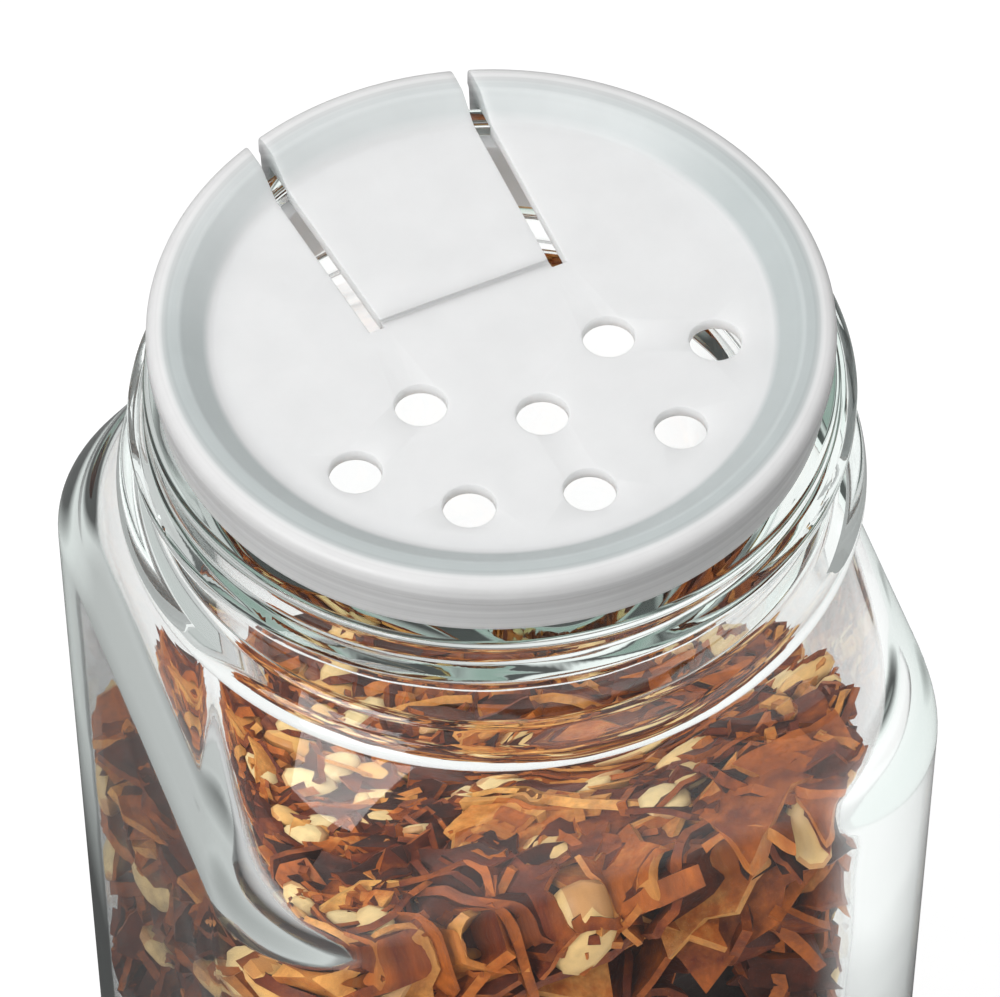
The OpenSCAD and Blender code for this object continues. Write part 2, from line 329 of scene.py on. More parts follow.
def apply(piece, kind, **settings):
    """Adds a modifier and applies it."""
    made = piece.modifiers.new(kind.title(), kind)
    for key, value in settings.items():
        setattr(made, key, value)
    bpy.context.view_layer.objects.active = piece
    bpy.ops.object.modifier_apply(modifier=made.name)


def hand_over(piece, material, body, slot, *nodes):
    """Gives a piece its finish and its body, and hides the solids that it stands for."""
    piece.data.materials.clear()
    piece.data.materials.append(material)
    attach(piece, body)
    if nodes:
        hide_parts(*nodes)


# Shapes of the glass

def plan_reach(turn, half, corner):
    """Distance from the axis to a square with rounded corners, at each turn."""
    fold = np.abs((turn + np.pi / 4) % (np.pi / 2) - np.pi / 4)
    flat = half - corner
    along = flat * (np.cos(fold) + np.sin(fold))
    bow = along + np.sqrt(np.maximum(corner**2 - 2 * flat**2 + along**2, 0))
    return np.where(half * np.tan(fold) <= flat, half / np.cos(fold), bow)


def soft_max(a, b, blend):
    """The larger of two, with a fillet where they cross."""
    near = np.maximum(blend - np.abs(a - b), 0) / blend
    return np.maximum(a, b) + near * near * blend / 4


def soft_ramp(x, ease):
    """Zero, then a slope of 1, with a soft bend round zero."""
    return np.where(x < -ease, 0, np.where(x > ease, x, (x + ease) ** 2 / (4 * ease)))


def ring_points(turn, reach, z):
    """Points round the axis."""
    return np.stack([reach * np.cos(turn), reach * np.sin(turn), np.broadcast_to(z, turn.shape)], axis=1)


def arc(centre, radius, start, end, steps):
    """Points on an arc of a half section, from one angle to another in degrees."""
    return [
        (centre[0] + radius * math.cos(a), centre[1] + radius * math.sin(a))
        for a in np.radians(np.linspace(start, end, steps + 1))
    ]


def cavity_reach(g, turn, z):
    """Distance from the axis to the inside of the glass, above the floor's rounding."""
    half = g.body_w / 2 - g.wall
    share = np.maximum(np.asarray(z) - g.cavity_z, 0) / (g.cavity_top_z - g.cavity_z)
    rise = 1 - soft_ramp(1 - share**g.cavity_curve, 0.12)
    corner = g.inner_edge_r + (g.bore_r - g.inner_edge_r) * rise
    return plan_reach(turn, half + (g.bore_r - half) * rise, corner)


def outside_reach(g, turn, z):
    """Distance from the axis to the outside of the glass, between the heel and the ledge."""
    half = g.body_w / 2
    rise = min(soft_ramp(np.float64(z - g.body_h), g.bend) / (g.shoulder_top - g.body_h), 1)
    corner = g.edge_r + (g.shoulder_r - g.edge_r) * rise
    plan = plan_reach(turn, half + (g.shoulder_r - half) * rise, corner)
    if z < g.bead_z - NECK_START:
        return plan
    return soft_max(plan, neck_reach(g, z), g.neck_fillet) + thread_height(g, turn, z)


def neck_reach(g, z):
    """Radius of the neck at a level, with its bead and the fillets beside it."""
    fillet, nose = g.bead_fillet, g.bead_t / 2
    off = abs(z - g.bead_z)
    if off <= nose:
        return g.bead_r - nose + math.sqrt(nose**2 - off**2)
    if off < nose + fillet:
        return g.neck_r + fillet - math.sqrt(fillet**2 - (nose + fillet - off) ** 2)
    return g.neck_r


def thread_height(g, turn, z):
    """How far the screw thread stands out of the neck, as a right-hand helix that runs out at both ends."""
    height = np.zeros_like(turn)
    front, flank = -math.pi / 2, 0.62
    for lap in (-1, 0, 1):
        along = (turn - front + np.pi) % (2 * np.pi) - np.pi + 2 * np.pi * lap
        middle = g.thread_z + g.thread_pitch * along / (2 * np.pi)
        run = np.clip((g.thread_run - np.abs(along)) / g.thread_fade, 0, 1)
        off = np.abs(z - middle) / g.thread_w
        crest = np.clip((1 - off) / flank, 0, 1)
        height = np.maximum(height, run * crest * crest * (3 - 2 * crest))
    # It also fades out below the ledge and above the bead
    ends = np.clip((g.ledge_z - 0.3 * MM - z) / (0.7 * MM), 0, 1)
    foot = np.clip((z - g.bead_z - g.bead_t / 2 - 0.5 * MM) / (0.8 * MM), 0, 1)
    return (g.thread_r - g.neck_r) * height * ends * foot


def glass_rings(g):
    """Rings of the jar from its underside, up the outside, over the lip and down to the cavity's floor."""
    turn = np.linspace(0, 2 * np.pi, g.columns, endpoint=False)
    half, low_half = g.body_w / 2, g.body_w / 2 - g.heel_r
    ball = (g.dish_r**2 + g.dish_t**2) / (2 * g.dish_t)
    rings = []

    def level(reach, z):
        rings.append(ring_points(turn, reach, z))

    for r in np.array([0.05, 0.25, 0.5, 0.75, 0.92]) * g.dish_r:
        level(r, math.sqrt(ball**2 - r**2) - ball + g.dish_t)
    for r, z in ((0.985, 0.03), (1.02, 0.0)):
        level(g.dish_r * r, z * g.dish_t)
    for a in np.radians(np.linspace(0, 90, 8)):
        out = g.heel_r * math.sin(a)
        level(plan_reach(turn, low_half + out, g.edge_r - g.heel_r + out), g.heel_r * (1 - math.cos(a)))
    steps = [
        np.linspace(g.heel_r + 4 * MM, g.body_h - g.bend - MM, 8),
        np.linspace(g.body_h - g.bend, g.body_h + g.bend, 9),
        np.linspace(g.body_h + g.bend + 0.7 * MM, g.bead_z - 5.2 * MM, 9),
        np.linspace(g.bead_z - 5 * MM, g.bead_z + 2 * MM, 56),
        np.linspace(g.bead_z + 2.2 * MM, g.ledge_z - 0.5 * MM, 32),
    ]
    for z in np.concatenate(steps):
        level(outside_reach(g, turn, z), z)
    soft, foot, lip, mouth = g.ledge_round, g.ledge_fillet, g.lip_round, g.mouth_round
    for r, z in (
        *arc((g.neck_r - soft, g.ledge_z - soft), soft, 20, 90, 4),
        *arc((g.lip_r + foot, g.ledge_z + foot), foot, 270, 180, 4),
        *arc((g.lip_r - lip, g.lip_z - lip), lip, 0, 90, 5),
        *arc((g.bore_r + mouth, g.lip_z - mouth), mouth, 90, 180, 5),
    ):
        level(r, z)
    steps = [
        np.linspace(g.ledge_z, g.bead_z + 4 * MM, 4),
        np.linspace(g.bead_z + 3.5 * MM, g.body_h + 4 * MM, 34),
        np.linspace(g.body_h + 3.6 * MM, g.body_h - 4 * MM, 12),
        np.linspace(g.body_h - 12 * MM, g.base_t + g.floor_r + 4 * MM, 6),
    ]
    for z in np.concatenate(steps):
        level(cavity_reach(g, turn, z), z)
    inner = half - g.wall - g.floor_r
    for a in np.radians(np.linspace(0, 90, 9)):
        out = g.floor_r * math.cos(a)
        level(
            plan_reach(turn, inner + out, max(g.inner_edge_r - g.floor_r, 0.5 * MM) + out),
            g.base_t + g.floor_r * (1 - math.sin(a)),
        )
    for k in (0.75, 0.5, 0.25, 0.05):
        level(inner * k, g.base_t - 0.25 * MM * (1 - k))
    return rings


# Shapes of the insert

class InsertPlan:
    """Plan of the insert, turned to its place on the neck."""

    def __init__(self, s):
        self.s = s
        self.flare = math.tan(s.flap_flare)
        self.cos, self.sin = math.cos(s.turn), math.sin(s.turn)

    def at(self, x, y, z):
        """A point of the insert in the jar's frame."""
        return Vector((x * self.cos - y * self.sin, x * self.sin + y * self.cos, z))

    def own(self, co):
        """Where a point of the jar's frame lies across and along the insert."""
        return co.x * self.cos + co.y * self.sin, co.y * self.cos - co.x * self.sin

    def half(self, y, beside=0.0):
        """Half width of the flap at a distance from the axis, or of the opening beside it."""
        return self.s.flap_w / 2 + (y - self.s.hinge_y) * self.flare + beside

    def side(self, r, beside=0.0):
        """Turn from the flap's middle to its side, or to the slot's far side, at a radius."""
        foot = self.half(0.0, beside)
        return self.s.flap_flare + math.asin(foot * math.cos(self.s.flap_flare) / r)

    def corner(self, r, beside=0.0):
        """Where the flap's side, or the slot's far side, meets a circle."""
        a = self.side(r, beside)
        return r * math.sin(a), r * math.cos(a)

    def round_row(self, r, z):
        """A full row of the insert: columns over the opening, then columns round the rest."""
        a = self.side(r, self.s.slot_w)
        turns = np.concatenate([
            np.linspace(-a, a, OPENING_COLUMNS, endpoint=False),
            np.linspace(a, 2 * math.pi - a, REST_COLUMNS, endpoint=False),
        ])
        return [self.at(r * math.sin(t), r * math.cos(t), z) for t in turns]

    def flap_row(self, r, z):
        """A row of the flap, from its left side to its right side."""
        a = self.side(r)
        return [self.at(r * math.sin(t), r * math.cos(t), z) for t in np.linspace(-a, a, FLAP_COLUMNS)]


def rounded_section(corners):
    """Half section through these corners, given as radius, level and rounding."""
    points = []
    for i, (r, z, soft) in enumerate(corners):
        here = Vector((r, z))
        if soft == 0 or i in (0, len(corners) - 1):
            points.append(here)
            continue
        back = Vector(corners[i - 1][:2]) - here
        ahead = Vector(corners[i + 1][:2]) - here
        half_turn = back.angle(ahead) / 2
        reach = min(soft / math.tan(half_turn), 0.49 * back.length, 0.49 * ahead.length)
        start, end = here + back.normalized() * reach, here + ahead.normalized() * reach
        steps = max(2, int(round(math.degrees(math.pi - 2 * half_turn) / 14)))
        for k in range(steps + 1):
            t = k / steps
            points.append(start * (1 - t) ** 2 + here * 2 * t * (1 - t) + end * t**2)
    return points


def lid_top(s, inner):
    """Corners of the insert's section from the deck out to the skirt's lower edge."""
    return [
        (inner, s.deck_z, 0),
        (s.deck_r, s.deck_z, s.deck_round),
        (s.crest_r, s.rim_z, s.crest_round),
        (s.rim_r, s.rim_z, s.rim_round),
        (s.rim_r, s.band_z, s.band_round),
        (s.skirt_top_r, s.band_z - 0.12 * MM, s.band_round),
        (s.skirt_low_r, s.skirt_z, 0.25 * MM),
        (s.skirt_in_r, s.skirt_z, 0.2 * MM),
    ]


def outline_to(piece, start, stops):
    """Extrudes an edge from the point at start, stop by stop."""
    bpy.ops.mesh.select_all(action="DESELECT")
    bpy.ops.mesh.select_mode(type="VERT")
    mesh = bmesh.from_edit_mesh(piece.data)
    min(mesh.verts, key=lambda v: (v.co - start).length).select_set(True)
    bmesh.update_edit_mesh(piece.data)
    for stop in stops:
        bpy.ops.mesh.extrude_region()
        mesh = bmesh.from_edit_mesh(piece.data)
        next(v for v in mesh.verts if v.select).co = stop
        bmesh.update_edit_mesh(piece.data)


def near_z(e, z):
    """True for an edge that lies at this level."""
    return all(abs(v.co.z - z) < MERGE for v in e.verts)


def sift_hole(plan, r, a):
    """Adds the wall of a sift hole, with soft edges at both faces of the deck."""
    s = plan.s
    soft = s.edge * 1.6
    middle = plan.at(r * math.sin(a), -r * math.cos(a), 0)
    low = s.deck_z - s.deck_t
    wall = [
        (s.sift_r + soft, s.deck_z), (s.sift_r + soft * 0.3, s.deck_z - soft * 0.3),
        (s.sift_r, s.deck_z - soft), (s.sift_r, low + soft),
        (s.sift_r + soft * 0.3, low + soft * 0.3), (s.sift_r + soft, low),
    ]
    bpy.ops.mesh.select_all(action="DESELECT")
    start_r, start_z = wall[0]
    bpy.ops.mesh.primitive_circle_add(vertices=48, radius=start_r, location=(middle.x, middle.y, start_z))
    for (wide, high), (narrow, deep) in zip(wall, wall[1:]):
        bpy.ops.mesh.extrude_region()
        bpy.ops.transform.translate(value=(0, 0, deep - high))
        k = narrow / wide
        bpy.ops.transform.resize(value=(k, k, 1), center_override=(middle.x, middle.y, deep))


def draw_cut(piece, plan, path, levels):
    """Draws the edge of a cut through the deck at each level, along the path."""
    for z in levels:
        outline_to(piece, plan.at(*path[0], z), [plan.at(x, y, z) for x, y in path[1:]])
    merge_points()


def pick_deck(piece, z, inner):
    """Selects the open edges of the deck at a level."""
    reach = inner + 0.01 * MM
    pick(piece, "edges", lambda e: len(e.link_faces) < 2 and near_z(e, z)
         and all(math.hypot(v.co.x, v.co.y) < reach for v in e.verts))


def wall_cut(piece, plan, path, levels):
    """Adds the wall of the cut between both faces of the deck, and closes the flap's two sides."""
    stops = [plan.at(x, y, 0) for x, y in path]

    def on_path(e):
        return e.is_boundary and any(near_z(e, z) for z in levels) and all(
            min(math.hypot(v.co.x - p.x, v.co.y - p.y) for p in stops) < 0.005 * MM for v in e.verts)

    pick(piece, "edges", on_path)
    bpy.ops.mesh.bridge_edge_loops()
    for way in (1, -1):
        pick(piece, "edges", lambda e: e.is_boundary and all(plan.own(v.co)[0] * way > 0 for v in e.verts))
        bpy.ops.mesh.edge_face_add()


def finish_moulding(piece, s):
    """Rounds the cut edges of a moulding, and weights its normals so that flat faces look flat."""
    merge_points()
    bpy.ops.mesh.normals_make_consistent(inside=False)
    sharp = math.radians(50)
    if pick(piece, "edges", lambda e: len(e.link_faces) == 2 and e.calc_face_angle(0) > sharp):
        bpy.ops.mesh.bevel(offset=s.edge, segments=2, profile=0.5, affect="EDGES", clamp_overlap=True)
    tidy(piece, 38)
    apply(piece, "WEIGHTED_NORMAL", mode="FACE_AREA", weight=80, keep_sharp=True)


# Materials

class Nodes:
    """A node tree, with short ways to fill it. A value is a number, a colour or a (node, socket) pair."""

    def __init__(self, tree):
        self.tree = tree
        tree.nodes.clear()

    def add(self, kind, **values):
        """A new node, with some of its inputs or settings."""
        node = self.tree.nodes.new(kind)
        for key, value in values.items():
            if key in node.inputs:
                node.inputs[key].default_value = value
            else:
                setattr(node, key, value)
        return node

    def feed(self, value, socket):
        """Links a pair to an input, or sets a number or a colour on it."""
        if isinstance(value, tuple) and isinstance(value[0], bpy.types.Node):
            self.tree.links.new(value[0].outputs[value[1]], socket)
        elif isinstance(value, (int, float)):
            socket.default_value = value
        else:
            socket.default_value = (*value, 1)[:len(socket.default_value)]

    def math(self, operation, a, b):
        """A sum, product or comparison of two values."""
        node = self.add("ShaderNodeMath", operation=operation)
        self.feed(a, node.inputs[0])
        self.feed(b, node.inputs[1])
        return node, "Value"

    def split(self, source):
        """The three parts of a vector."""
        node = self.add("ShaderNodeSeparateXYZ")
        self.feed(source, node.inputs["Vector"])
        return [(node, axis) for axis in "XYZ"]

    def size(self, source):
        """The length of a vector."""
        node = self.add("ShaderNodeVectorMath", operation="LENGTH")
        self.feed(source, node.inputs["Vector"])
        return node, "Value"

    def range(self, source, low, high, to_low, to_high):
        """Maps the values between low and high to others."""
        node = self.add("ShaderNodeMapRange")
        names = ("Value", "From Min", "From Max", "To Min", "To Max")
        for name, value in zip(names, (source, low, high, to_low, to_high)):
            self.feed(value, node.inputs[name])
        return node, "Result"

    def ramp(self, source, stops):
        """Colours along a value."""
        node = self.add("ShaderNodeValToRGB")
        marks = node.color_ramp.elements
        while len(marks) < len(stops):
            marks.new(0.5)
        for mark, (at, rgb) in zip(marks, stops):
            mark.position = at
            mark.color = (*rgb, 1)
        self.feed(source, node.inputs["Fac"])
        return node, "Color"

    def mix(self, factor, a, b, blend="MIX"):
        """Mixes two colours."""
        node = self.add("ShaderNodeMix", data_type="RGBA", blend_type=blend)
        for index, value in ((0, factor), (6, a), (7, b)):
            self.feed(value, node.inputs[index])
        return node, 2

    def blend(self, factor, a, b):
        """Mixes two shaders."""
        node = self.add("ShaderNodeMixShader")
        for index, value in enumerate((factor, a, b)):
            self.feed(value, node.inputs[index])
        return node, "Shader"


class Finish(Nodes):
    """A material's node tree round one shader, placed by the object's own coordinates."""

    def __init__(self, name):
        self.material = bpy.data.materials.new(name)
        self.material.use_nodes = True
        super().__init__(self.material.node_tree)
        self.out = self.add("ShaderNodeOutputMaterial")
        self.skin = self.add("ShaderNodeBsdfPrincipled")
        self.feed((self.skin, "BSDF"), self.out.inputs["Surface"])
        self.place = self.add("ShaderNodeTexCoord"), "Object"

    def set(self, **values):
        """Sets or links inputs of the shader."""
        for key, value in values.items():
            self.feed(value, self.skin.inputs[key.replace("_", " ")])

    def mark(self, name):
        """A value that each face carries."""
        return self.add("ShaderNodeAttribute", attribute_name=name), "Fac"

    def noise(self, scale, detail=3.0, rough=0.55):
        """Cloudy noise; the scale is per metre."""
        node = self.add("ShaderNodeTexNoise", Scale=scale, Detail=detail, Roughness=rough)
        self.feed(self.place, node.inputs["Vector"])
        return node, "Fac"

    def bump(self, strength, distance, *heights):
        """Stacks bumps on the shader's normal."""
        before = None
        for height in heights:
            node = self.add("ShaderNodeBump", Strength=strength, Distance=distance)
            self.feed(height, node.inputs["Height"])
            if before:
                self.feed(before, node.inputs["Normal"])
            before = node, "Normal"
        self.set(Normal=before)


def clear_glass(g):
    """Pressed soda glass: a little wavy, with a grey-green tint where it is thick."""
    f = Finish("clear_glass")
    f.set(Base_Color=(1, 1, 1), IOR=1.5, Transmission_Weight=1.0, Specular_IOR_Level=0.5)
    f.set(Roughness=f.range(f.noise(90, 2), 0.45, 0.75, 0.0, 0.012))
    f.bump(0.35, 0.05 * MM, f.noise(140, 1, 0.4))
    tint = f.add("ShaderNodeVolumeAbsorption", Color=(*g.tint, 1), Density=g.tint_density)
    f.feed((tint, "Volume"), f.out.inputs["Volume"])
    path = f.add("ShaderNodeLightPath")
    clear = f.add("ShaderNodeBsdfTransparent", Color=(0.95, 0.965, 0.96, 1)), "BSDF"
    deep = f.math("GREATER_THAN", (path, "Ray Depth"), g.clear_depth)
    wall = f.blend(deep, (f.skin, "BSDF"), clear)
    f.feed(f.blend((path, "Is Shadow Ray"), wall, clear), f.out.inputs["Surface"])
    return f.material


def frosted_plastic(s):
    """Frosted polyethylene, with a painted grey shade where the glass lip shows through it close behind, a
    lighter painted shade near the flap, and fine lines round the rim.
    """
    f = Finish("frosted_polyethylene")
    x, y, z = f.split(f.place)
    flat = f.add("ShaderNodeCombineXYZ")
    f.feed(x, flat.inputs["X"])
    f.feed(y, flat.inputs["Y"])
    reach = f.size((flat, "Vector"))
    unit = f.range(reach, 15.0 * MM, 20.0 * MM, 0, 1)
    # Painted shade of the glass lip seen through the thin plastic
    lip_shade_colours = f.ramp(unit, [
        (0.22, s.pale), (0.30, s.painted_lip_shade), (0.70, s.painted_lip_shade), (0.80, s.rim), (1.0, s.rim),
    ])
    # Lighter painted shade over the flap's side, where the plastic sits off the lip
    flap_shade_colours = f.ramp(unit, [(0.22, s.pale), (0.36, s.painted_flap_shade), (0.64, s.painted_flap_shade), (0.80, s.rim)])
    band = f.mix(f.range(y, 4.0 * MM, 14.0 * MM, 0, 1), lip_shade_colours, flap_shade_colours)
    cloud, grain = f.noise(260, 4), f.noise(2600, 3)
    clouded = f.mix(1.0, band, f.range(cloud, 0.3, 0.7, 0.955, 1.0), "MULTIPLY")
    line = f.add("ShaderNodeTexNoise", noise_dimensions="1D", Scale=2400, Detail=2)
    f.feed(f.math("ADD", reach, z), line.inputs["W"])
    groove = f.range((line, "Fac"), 0.3, 0.7, 0.90, 1.04)
    lined = f.mix(f.range(unit, 0.45, 0.75, 0, 1), (1, 1, 1), groove)
    f.set(Base_Color=f.mix(1.0, clouded, lined, "MULTIPLY"), IOR=1.51)
    f.set(Subsurface_Weight=0.7, Subsurface_Radius=(1, 1, 1), Subsurface_Scale=1.5 * MM)
    f.set(Roughness=f.range(grain, 0.3, 0.7, 0.34, 0.46))
    f.bump(0.12, 0.02 * MM, grain, cloud)
    return f.material


def chilli_skin(h):
    """Dried chilli skin: each flake has a tone of its own, darkened by painted shade deeper in the heap, and
    its inner face is paler.
    """
    f = Finish("chilli_skin")
    mottle, vein = f.noise(520, 4, 0.6), f.noise(1500, 3, 0.7)
    # The tone mark holds each flake's own tone with painted shade from its depth in the heap
    tone = f.math("ADD", f.mark("tone"), f.range(mottle, 0.3, 0.7, -0.16, 0.16))
    skin = f.ramp(tone, [(0.0, h.dark), (0.30, h.red), (0.62, h.orange), (1.0, h.tan)])
    flesh = f.ramp(tone, [(0.0, h.red), (0.35, h.orange), (1.0, h.tan)])
    both = f.mix(f.mark("inner"), skin, flesh)
    streak = f.range(vein, 0.35, 0.7, 0.72, 1.1)
    f.set(Base_Color=f.mix(1.0, both, streak, "MULTIPLY"), IOR=1.45, Specular_IOR_Level=0.22)
    f.set(Roughness=f.range(vein, 0.3, 0.7, 0.32, 0.58))
    f.bump(0.55, 0.12 * MM, mottle, vein)
    return f.material


def chilli_seed(h):
    """Dry seed: cream, with a browner edge and a dull skin."""
    f = Finish("chilli_seed")
    speck = f.noise(900, 3)
    pale = f.ramp(f.mark("tone"), [(0.0, h.tan), (0.35, h.seed), (1.0, h.pale_seed)])
    edged = f.mix(f.mark("inner"), pale, h.orange)
    shade = f.range(speck, 0.3, 0.7, 0.78, 1.05)
    f.set(Base_Color=f.mix(1.0, edged, shade, "MULTIPLY"), IOR=1.45)
    f.set(Roughness=f.range(speck, 0.3, 0.7, 0.35, 0.5))
    f.bump(0.4, 0.08 * MM, speck)
    return f.material


def chilli_depth(h):
    """Painted shade: the dark between and behind the flakes, standing for the heap's shaded inside."""
    f = Finish("chilli_depth")
    crumb = f.noise(380, 5, 0.65)
    f.set(Base_Color=f.ramp(crumb, [(0.30, h.core_shade_dark), (0.55, h.core_shade_brown), (0.80, h.dark)]))
    f.set(Roughness=f.range(crumb, 0.3, 0.7, 0.6, 0.9))
    f.bump(0.8, 0.4 * MM, crumb)
    return f.material


def pale_floor(stage):
    """White floor that shows a soft shadow, and reads as white to the camera and through the glass."""
    f = Finish("pale_floor")
    worn = tuple(c * 0.985 for c in stage.floor)
    tone = f.ramp(f.noise(12, 2), [(0.3, worn), (0.7, stage.floor)])
    path = f.add("ShaderNodeLightPath")
    x = f.split(f.place)[0]
    reach = f.size(f.place)
    # What the glass mirrors: greyer at the left, a painted shadow close to the jar, pale at the right, and
    # painted light right under it
    side = f.range(x, -0.10, 0.03, stage.left, stage.right)
    near = f.range(reach, 0.068, 0.10, stage.near, 1)
    open_side = f.range(x, 0.035, 0.06, 0, stage.right)
    under = f.range(reach, 0.030, 0.042, stage.left, 0)
    room = f.math("MAXIMUM", f.math("MULTIPLY", side, near), f.math("MAXIMUM", open_side, under))
    clear = f.range((path, "Glossy Depth"), 0, 1, 1, room)
    seen = f.math("MAXIMUM", (path, "Is Camera Ray"), (path, "Is Transmission Ray"))
    inside = f.range((path, "Transmission Depth"), 0, 1, stage.sheen, room)
    mirrored = f.math("MULTIPLY", (path, "Is Glossy Ray"), inside)
    glow = f.math("MAXIMUM", f.math("MULTIPLY", seen, clear), mirrored)
    # The floor's colour, as mirrored, carries the same painted shadow and painted light
    f.set(Base_Color=f.mix(1.0, tone, clear, "MULTIPLY"), Roughness=0.9, Specular_IOR_Level=0.1)
    f.set(Emission_Color=(1, 1, 1), Emission_Strength=f.math("MULTIPLY", glow, stage.glow))
    return f.material


# Operators

class SPICEJAR_OT_glass(bpy.types.Operator):
    """Models the glass jar from its underside, up over the lip and down to the floor of its cavity"""

    bl_idname = "spicejar.glass"
    bl_label = "Glass jar"

    def execute(self, context):
        g = context.scene.spice_glass
        rings = glass_rings(g)
        piece = loft("jar_glass", rings)
        close_ends(piece, rings[0], rings[-1])
        tidy(piece)
        hand_over(piece, clear_glass(g), "jar", "glass", "glass_jar")
        return {"FINISHED"}


class SPICEJAR_OT_insert(bpy.types.Operator):
    """Models the shaker insert: rim, skirt, plug, deck, sift holes and the opening for the flap"""

    bl_idname = "spicejar.insert"
    bl_label = "Shaker insert"

    def execute(self, context):
        s = context.scene.spice_insert
        plan = InsertPlan(s)
        inner = s.plug_in_r - DECK_MARGIN
        low = s.deck_z - s.deck_t
        rest_z = low - s.flap_gap
        section = rounded_section(lid_top(s, inner) + [
            (s.skirt_in_r, s.lip_z, 0.15 * MM),
            (s.plug_out_r, s.lip_z, 0),
            (s.plug_out_r, rest_z, 0),
            (s.plug_out_r, s.plug_z + PLUG_LEAD, 0.2 * MM),
            (s.plug_out_r - PLUG_LEAD, s.plug_z, 0.1 * MM),
            (s.plug_in_r, s.plug_z, 0.1 * MM),
            (s.plug_in_r, rest_z, 0),
            (s.plug_in_r, low, 0),
            (inner, low, 0),
        ])
        piece = loft("shaker_insert_moulding", [plan.round_row(p.x, p.y) for p in section])
        self.open_for_flap(piece, plan, rest_z)
        start, end = s.hinge_y - s.hinge_gap / 2, s.hinge_y - s.slot_over
        wide, narrow = plan.half(end, s.slot_w), s.flap_w / 2
        side = plan.corner(inner, s.slot_w)
        path = [
            side, (wide, end), (narrow, end), (narrow, start),
            (-narrow, start), (-narrow, end), (-wide, end), (-side[0], side[1]),
        ]
        draw_cut(piece, plan, path, (s.deck_z, low))
        for i in (-1, 0, 1):
            sift_hole(plan, s.sift_inner_r, 2 * i * s.sift_step)
        for i in (-2, -1, 0, 1, 2):
            sift_hole(plan, s.sift_outer_r, i * s.sift_step)
        for z in (s.deck_z, low):
            pick_deck(piece, z, inner)
            # The fill needs a larger scale than a jar's to tell the holes' points apart
            bpy.ops.transform.resize(value=(1000, 1000, 1000), center_override=(0, 0, z))
            bpy.ops.mesh.fill(use_beauty=True)
            bpy.ops.transform.resize(value=(0.001, 0.001, 0.001), center_override=(0, 0, z))
        wall_cut(piece, plan, path, (s.deck_z, low))
        finish_moulding(piece, s)
        hand_over(piece, frosted_plastic(s), "insert", "insert", "shaker_insert")
        return {"FINISHED"}

    def open_for_flap(self, piece, plan, rest_z):
        """Takes out what the flap fills, and closes the plug's top there."""
        s = plan.s

        def in_opening(f):
            c = f.calc_center_median()
            x, y = plan.own(c)
            plug = c.z < rest_z - 0.001 * MM and math.hypot(x, y) < s.plug_out_r + 0.05 * MM
            return y > 0 and abs(x) < plan.half(y, s.slot_w) and not plug

        pick(piece, "faces", in_opening)
        bpy.ops.mesh.delete(type="FACE")
        pick(piece, "edges", lambda e: e.is_boundary and near_z(e, rest_z) and e.calc_length() < 1.0 * MM)
        bpy.ops.mesh.bridge_edge_loops()


class SPICEJAR_OT_flap(bpy.types.Operator):
    """Models the pour flap, with its own piece of rim and skirt"""

    bl_idname = "spicejar.flap"
    bl_label = "Pour flap"

    def execute(self, context):
        s = context.scene.spice_insert
        plan = InsertPlan(s)
        inner = s.plug_in_r - DECK_MARGIN
        low = s.deck_z - s.deck_t
        under = s.lip_z + s.flap_gap
        section = rounded_section(lid_top(s, inner) + [
            (s.skirt_in_r, under, 0.15 * MM),
            (s.plug_out_r, under, 0.1 * MM),
            (s.plug_out_r, low, 0.1 * MM),
            (inner, low, 0),
        ])
        rows = [plan.flap_row(p.x, p.y) for p in section]
        deselect()
        bpy.ops.mesh.primitive_grid_add(
            x_subdivisions=len(rows[0]) - 1, y_subdivisions=len(rows) - 1, size=10 * MM)
        piece = context.object
        piece.name = piece.data.name = "pour_flap_moulding"
        flat = [tuple(p) for row in rows for p in row]
        piece.data.vertices.foreach_set("co", np.array(flat, dtype=np.float32).ravel())
        bpy.ops.object.mode_set(mode="EDIT")
        start = s.hinge_y + s.hinge_gap / 2
        wide = plan.half(start)
        side = plan.corner(inner)
        path = [side, (wide, start), (-wide, start), (-side[0], side[1])]
        draw_cut(piece, plan, path, (s.deck_z, low))
        for z in (s.deck_z, low):
            pick_deck(piece, z, inner)
            bpy.ops.mesh.edge_face_add()
        wall_cut(piece, plan, path, (s.deck_z, low))
        finish_moulding(piece, s)
        hand_over(piece, bpy.data.materials["frosted_polyethylene"], "flap", "flap", "pour_flap")
        return {"FINISHED"}


class SPICEJAR_OT_hinge(bpy.types.Operator):
    """Models the thin hinge web as a shallow groove"""

    bl_idname = "spicejar.hinge"
    bl_label = "Hinge web"

    def execute(self, context):
        s = context.scene.spice_insert
        plan = InsertPlan(s)
        deselect()
        bpy.ops.mesh.primitive_grid_add(x_subdivisions=16, y_subdivisions=8, size=1)
        piece = context.object
        piece.name = piece.data.name = "hinge_web_film"
        for v in piece.data.vertices:
            sag = s.web_sag - s.web_bow * (2 * v.co.y) ** 2
            v.co = plan.at(v.co.x * s.flap_w, s.hinge_y + v.co.y * s.hinge_gap, s.deck_z - sag)
        apply(piece, "SOLIDIFY", thickness=s.web_t, offset=-1)
        bpy.ops.object.mode_set(mode="EDIT")
        tidy(piece, 40)
        piece.data.materials.append(bpy.data.materials["frosted_polyethylene"])
        start = plan.at(0, s.hinge_y - s.hinge_gap / 2, s.deck_z)
        end = plan.at(0, s.hinge_y + s.hinge_gap / 2, s.deck_z)
        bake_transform(piece)
        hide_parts("hinge_web")
        return {"FINISHED"}


